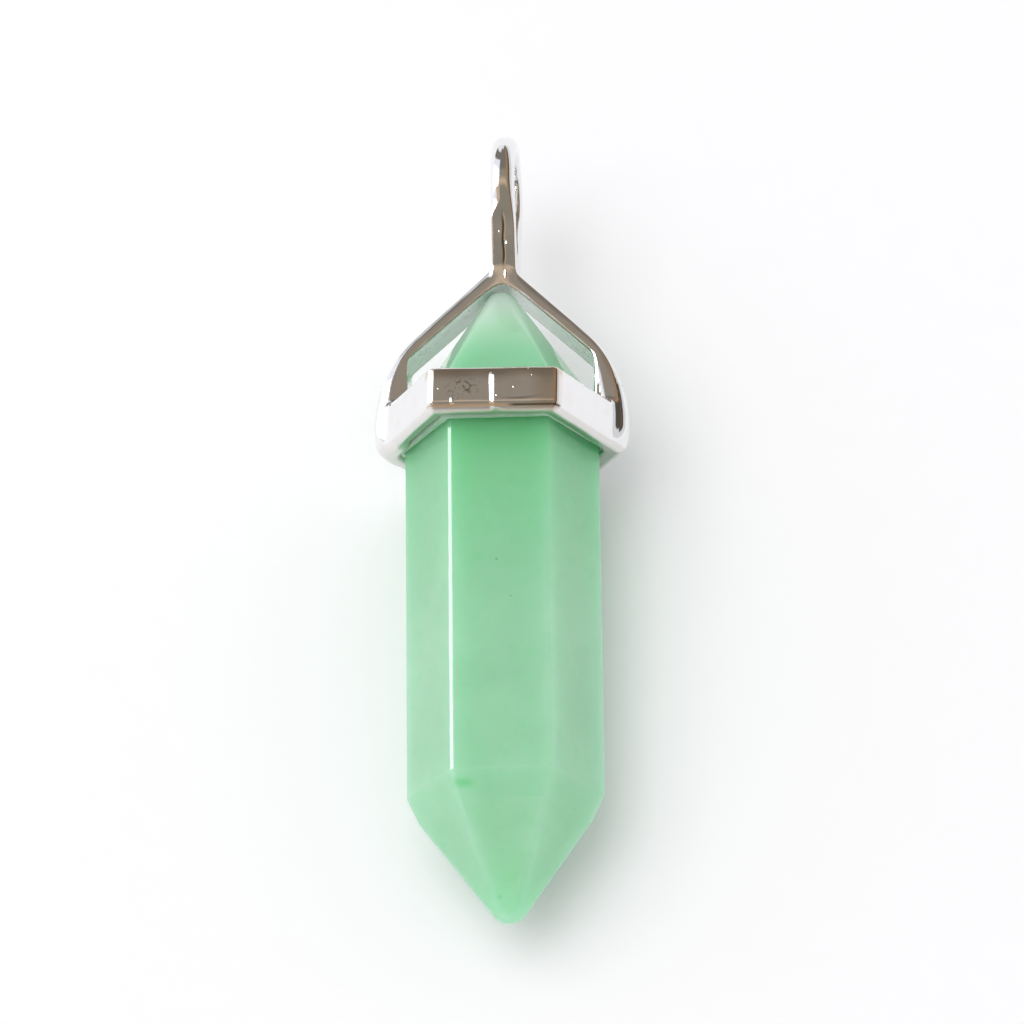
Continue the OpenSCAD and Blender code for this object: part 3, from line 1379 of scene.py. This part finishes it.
@dataclass(frozen=True)
class Cap:
    """The casting: collar, arch and bail in one."""

    collar: Collar = Collar()
    arch: Arch = Arch()
    bail: Bail = Bail()
    crown_lean: float = 1.0
    collar_roll: float = 1.6
    foot_fillet: float = 0.25
    leg_fillet: float = 0.3
    inner_round: float = 0.04
    under_round: float = 0.3
    wave_height: float = 0.003
    wave_lengths: tuple[float, float] = (1.4, 4.0)
    waves: int = 9
    seed: int = 7
    margin: float = 0.35
    net: SurfaceNet = SurfaceNet()
    finish: MetalFinish = MetalFinish()

    def waviness(self, x: np.ndarray, y: np.ndarray, z: np.ndarray) -> np.ndarray:
        """The slight unevenness that casting and polishing by hand leave.

        Args:
            x: across the pendant.
            y: from front to back.
            z: along the pendant.

        Returns:
            Its height.
        """
        random = np.random.default_rng(self.seed)
        total = np.zeros_like(x)
        for _ in range(self.waves):
            way = random.normal(size=3)
            way = way / np.linalg.norm(way) * 2 * math.pi / random.uniform(*self.wave_lengths)
            total += np.sin(way[0] * x + way[1] * y + way[2] * z + random.uniform(0, 2 * math.pi))
        return total * self.wave_height

    def distance(self, x: np.ndarray, y: np.ndarray, z: np.ndarray) -> np.ndarray:
        """Distance to the whole casting. The arch and the bail lean a little on the collar.

        Args:
            x: across the pendant.
            y: from front to back.
            z: along the pendant.

        Returns:
            The distance, negative inside.
        """
        lean = math.radians(self.crown_lean)
        side = x * math.cos(lean) - z * math.sin(lean)
        up = x * math.sin(lean) + z * math.cos(lean)
        space = self.arch.space(side, y, up, self.collar.hole(x, y))
        strap = self.arch.distance(side, y, up, space, self.collar)
        loop = self.bail.distance(side, y, up, self.arch)
        crown = soft_max(soft_min(strap, loop, self.foot_fillet), -space, self.inner_round)
        crown = soft_max(crown, -z, self.under_round)
        roll = math.radians(self.collar_roll)
        middle = self.collar.height / 2
        across = x * math.cos(roll) - (z - middle) * math.sin(roll)
        level = x * math.sin(roll) + (z - middle) * math.cos(roll) + middle
        whole = soft_min(self.collar.distance(across, y, level), crown, self.leg_fillet)
        return whole + self.waviness(x, y, z)

    def build(self, lay: Matrix) -> bpy.types.Object:
        """Makes the cap.

        Args:
            lay: lays the upright pendant down, in metres.

        Returns:
            The finished piece.
        """
        reach = self.collar.reach + self.margin
        depth = self.collar.flat + self.margin
        low = np.array([-reach, -depth, -self.margin])
        high = np.array([reach, depth, self.bail.top + self.margin])
        points, quads, normals = self.net.solve(self.distance, low, high)
        mesh = bpy.data.meshes.new("plated_cap")
        mesh.from_pydata(points.tolist(), [], quads.tolist())
        mesh.transform(lay)
        mesh.shade_smooth()
        turn = np.array(lay.to_3x3().normalized())
        mesh.normals_split_custom_set_from_vertices((normals @ turn.T).tolist())
        LOG.info("cap: %d triangles", 2 * len(quads))
        return make_object("plated_cap", mesh, self.finish.material(lay, self))


@dataclass(frozen=True)
class Rest:
    """How the pendant lies: on the collar's rear flat and one corner of the unworn shoulder."""

    stone: Stone
    cap: Cap

    def matrix(self) -> Matrix:
        """Works out how the upright pendant is laid down.

        Returns:
            Its turn and move, with its millimetres made metres.
        """
        stone, collar, bail = self.stone, self.cap.collar, self.cap.bail
        corner_drop = stone.ball_reach * math.cos(math.pi / SIDES - math.radians(stone.turn))
        rim_drop = collar.flat - collar.rim_r
        run = collar.rim_r - stone.shoulders[0]
        drop = rim_drop - corner_drop
        tilt = math.atan(drop / run)
        tilt = tilt + math.asin((collar.rim_r - stone.edge_r) / math.hypot(run, drop))
        lift = rim_drop * math.cos(tilt) - collar.rim_r * math.sin(tilt) + collar.rim_r
        crown_r = bail.depth / 2
        tip_end = (stone.tip_r - stone.below) * math.cos(tilt) - stone.tip_r
        bail_end = (bail.top - crown_r) * math.cos(tilt) + crown_r
        move = Matrix.Translation((0, -(tip_end + bail_end) / 2, lift))
        return Matrix.Scale(MM, 4) @ move @ Matrix.Rotation(tilt - math.pi / 2, 4, "X")


@dataclass(frozen=True)
class Viewpoint:
    """Where the camera stands, in the upright pendant's frame. Angles are in degrees."""

    tip_angle: float = 22.336
    side_angle: float = 4.5
    roll: float = -0.622
    distance: float = 320.44
    aside: float = -0.461
    above: float = -2.745
    focal_px: float = 6798.0
    image_px: float = 1024.0
    sensor: float = 36.0

    def place(self, lay: Matrix) -> None:
        """Adds the scene's camera.

        Args:
            lay: lays the upright pendant down, in metres.
        """
        tip, side, roll = (math.radians(a) for a in (self.tip_angle, self.side_angle, self.roll))
        level = math.cos(tip)
        back = Vector((math.sin(side) * level, -math.cos(side) * level, -math.sin(tip)))
        right = (-back).cross(Vector((0, 0, 1))).normalized()
        up = right.cross(-back)
        turned_right = math.cos(roll) * right + math.sin(roll) * up
        turned_up = math.cos(roll) * up - math.sin(roll) * right
        eye = back * self.distance - turned_right * self.aside + turned_up * self.above
        turn = Matrix((turned_right, turned_up, back)).transposed()
        data = bpy.data.cameras.new("camera")
        data.sensor_width = self.sensor
        data.lens = self.focal_px / self.image_px * self.sensor
        data.clip_start = 10 * MM
        camera = bpy.data.objects.new("camera", data)
        bpy.context.scene.collection.objects.link(camera)
        camera.matrix_world = Matrix.Translation(lay @ eye) @ (
            lay.to_3x3().normalized() @ turn
        ).to_4x4()
        bpy.context.scene.camera = camera


@dataclass(frozen=True)
class SoftBox:
    """One large soft light, in metres, that faces the pendant."""

    name: str
    towards: tuple[float, float, float]
    away: float
    width: float
    length: float
    radiance: float
    colour: Colour = (1.0, 1.0, 1.0)
    mirrored: bool = True
    spreads: bool = True

    def place(self) -> None:
        """Adds the light, for polished surfaces, for matt ones or for both."""
        data = bpy.data.lights.new(self.name, "AREA")
        data.shape = "RECTANGLE"
        data.size = self.width
        data.size_y = self.length
        data.color = self.colour
        data.energy = self.radiance * math.pi * self.width * self.length
        light = bpy.data.objects.new(self.name, data)
        bpy.context.scene.collection.objects.link(light)
        way = Vector(self.towards).normalized()
        turn = way.to_track_quat("Z", "Y").to_matrix().to_4x4()
        light.matrix_world = Matrix.Translation(way * self.away) @ turn
        light.visible_glossy = self.mirrored
        light.visible_diffuse = self.spreads
        light.visible_camera = False


@dataclass(frozen=True)
class Surroundings:
    """The pale room round the set, with the dim ceiling that the front faces mirror.

    Steps named across are on the angle from straight up, in degrees, positive to the right. The
    others are on the direction itself, whose y runs from front, -1, to back, 1.
    """

    pale: Colour = (0.88, 0.90, 0.94)
    dim: Colour = (0.30, 0.255, 0.205)
    warm: Colour = (0.36, 0.22, 0.12)
    side: Colour = (0.72, 0.73, 0.73)
    matt_light: Colour = (0.94, 0.915, 0.924)
    tan: Colour = (0.58, 0.45, 0.33)
    dark: Colour = (0.09, 0.075, 0.06)
    shade: Colour = (0.26, 0.235, 0.19)
    brown: Colour = (0.195, 0.175, 0.15)
    left_across: Step = Step(-19.0, -13.0)
    right_across: Step = Step(63.0, 69.0)
    warm_across: Step = Step(12.0, 40.0)
    dark_across: Step = Step(44.0, 54.0)
    low_left_across: Step = Step(-58.0, -48.0)
    brown_back: Step = Step(0.34, 0.5)
    shade_front: Step = Step(0.1, 0.3)
    tan_middle: Band = Band(-0.02, 0.22)
    tan_front: Step = Step(0.42, 0.7)
    low_left_front: Step = Step(-0.14, -0.04)
    far_front: Step = Step(0.8, 0.9)
    far_back: Step = Step(0.7, 0.76)
    far_back_end: Step = Step(0.9, 0.95)
    horizon: Step = Step(0.1, 0.2)
    matt_strength: float = 0.8

    def place(self) -> None:
        """Sets the scene's world."""
        world = bpy.data.worlds.new("pale_room")
        bpy.context.scene.world = world
        world.use_nodes = True
        world.node_tree.nodes.clear()
        graph = Graph(world.node_tree)
        way = graph.node("ShaderNodeTexCoord", output="Generated")
        x, y, z = (graph.node("ShaderNodeSeparateXYZ", {0: way}, output=n) for n in range(3))
        angle = graph.math("ARCTAN2", x, z) * math.degrees(1)
        front = -1 * y
        left, right = self.left_across.of(angle), self.right_across.of(angle)
        far_front, above = self.far_front.of(front), self.horizon.of(z)
        far_back = self.far_back.of(y) * (1 - self.far_back_end.of(y))
        low_left = self.low_left_front.of(front) * self.low_left_across.of(angle)
        ceiling = graph.cover(
            self.dim,
            (self.brown_back.of(y), self.brown),
            (self.shade_front.of(front), self.shade),
            (self.tan_middle.of(y), self.tan),
            (self.warm_across.of(angle), self.warm),
            (self.tan_front.of(front), self.tan),
            (self.dark_across.of(angle), self.dark),
            (low_left * (1 - left), self.tan),
            (far_front * above, self.dark),
        )
        closed = graph.math("MAXIMUM", left, graph.math("MAXIMUM", low_left, far_back))
        closed = closed * (1 - right) * (1 - far_front * (1 - above))
        colour = graph.mix(closed, graph.mix(right, self.pale, self.side), ceiling)
        matt = graph.node("ShaderNodeLightPath", output="Is Diffuse Ray")
        colour = graph.mix(matt, colour, self.matt_light)
        strength = 1 - matt * (1 - self.matt_strength)
        light = graph.node("ShaderNodeBackground", {"Color": colour, "Strength": strength})
        graph.add("ShaderNodeOutputWorld", {"Surface": light}, {})


@dataclass(frozen=True)
class Studio:
    """The floor, the room, the lights and the camera."""

    floor_size: float = 1.6
    floor: FloorFinish = FloorFinish()
    room: Surroundings = Surroundings()
    lights: tuple[SoftBox, ...] = (
        SoftBox("window", (-0.804, 0.284, 0.522), 0.5, 0.30, 0.55, 9.0, spreads=False),
        SoftBox("overhead", (-0.3, 0.05, 0.95), 0.8, 0.7, 0.7, 1.8, mirrored=False),
    )
    viewpoint: Viewpoint = Viewpoint()

    def build(self, lay: Matrix) -> None:
        """Adds everything that isn't part of the pendant.

        Args:
            lay: lays the upright pendant down, in metres.
        """
        half = self.floor_size / 2
        mesh = bpy.data.meshes.new("floor")
        corners = [(-half, -half, 0), (half, -half, 0), (half, half, 0), (-half, half, 0)]
        mesh.from_pydata(corners, [], [(0, 1, 2, 3)])
        make_object("floor", mesh, self.floor.material())
        self.room.place()
        for light in self.lights:
            light.place()
        self.viewpoint.place(lay)
        bpy.context.scene.view_settings.view_transform = "Standard"


@dataclass
class Pendant:
    """The whole pendant, piece by piece."""

    frame: dict
    stone: Stone = field(default_factory=Stone)
    cap: Cap = field(default_factory=Cap)
    glue: GlueFinish = field(default_factory=GlueFinish)

    def join(self, piece: bpy.types.Object, node: str) -> None:
        """Lets a piece stand for a node of the frame: hangs it on the root body and hides the node.

        Args:
            piece: the finished piece.
            node: the node's name.
        """
        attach(piece, "root")
        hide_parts(node)
        LOG.info("%s stands for %s", piece.name, node)

    def build(self, lay: Matrix) -> None:
        """Makes the stone and the cap and dresses the glue.

        Args:
            lay: lays the upright pendant down, in metres.
        """
        self.join(self.stone.build(lay), "crystal")
        self.join(self.cap.build(lay), "cap")
        glue = self.frame["nodes"]["glue"]
        glue.data.materials.clear()
        glue.data.materials.append(self.glue.material(lay))
        LOG.info("glue keeps its own shape")


def main() -> None:
    """Builds the pendant and the studio."""
    logging.basicConfig(level=logging.INFO, format="%(name)s: %(message)s")
    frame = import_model()
    pendant = Pendant(frame)
    lay = Rest(pendant.stone, pendant.cap).matrix()
    pendant.build(lay)
    Studio().build(lay)


if __name__ == "__main__":
    main()
